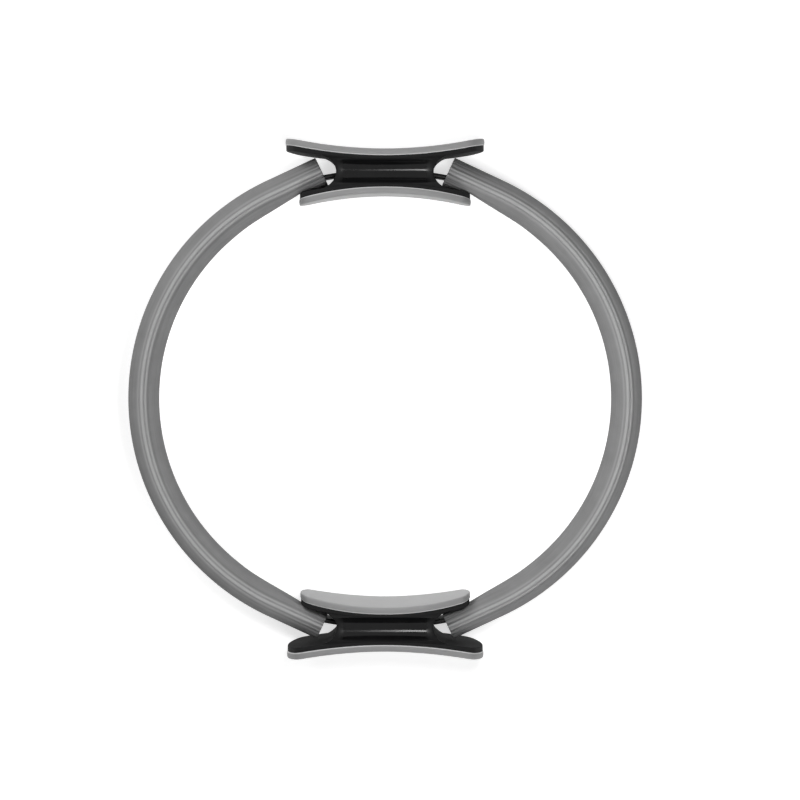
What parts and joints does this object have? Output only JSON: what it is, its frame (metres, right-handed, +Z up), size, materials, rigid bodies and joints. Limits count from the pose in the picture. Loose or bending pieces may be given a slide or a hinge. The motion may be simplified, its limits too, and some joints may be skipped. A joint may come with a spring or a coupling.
{
  "type": "pilates ring",
  "caption": "Sprung exercise ring: flat bands in foam sleeves join opposed saddle-shaped grips with soft pads inside and out, for squeezing between hands, arms or legs.",
  "frame": {"origin": "on the floor under the middle of the ring, which lies flat on the edges of its pads", "axes": "+X along the grips, +Y from the south grip to the north grip, +Z up along the ring's own axis"},
  "size_m": [0.38, 0.3834, 0.06],
  "materials": {
    "grip_plastic": "satin",
    "pad_foam": "matte",
    "sleeve_foam": "matte",
    "band_laminate": "satin",
    "screw_steel": "satin"
  },
  "bodies": {
    "south_grip": {"south_outer_shell": "grip_plastic", "south_inner_shell": "grip_plastic", "south_outer_pad": "pad_foam", "south_inner_pad": "pad_foam", "south_screws": "screw_steel", "right_band": "band_laminate", "left_band": "band_laminate", "right_sleeve": "sleeve_foam", "left_sleeve": "sleeve_foam"},
    "north_grip": {"north_outer_shell": "grip_plastic", "north_inner_shell": "grip_plastic", "north_outer_pad": "pad_foam", "north_inner_pad": "pad_foam", "north_screws": "screw_steel"}
  },
  "joints": [
    {"name": "squeeze", "type": "slide", "parent": "south_grip", "child": "north_grip", "axis": [0, -1, 0], "range_m": [-0.02, 0.06], "stiffness_N_per_m": 2000, "deforming": ["right_band", "left_band", "right_sleeve", "left_sleeve"]}
  ]
}
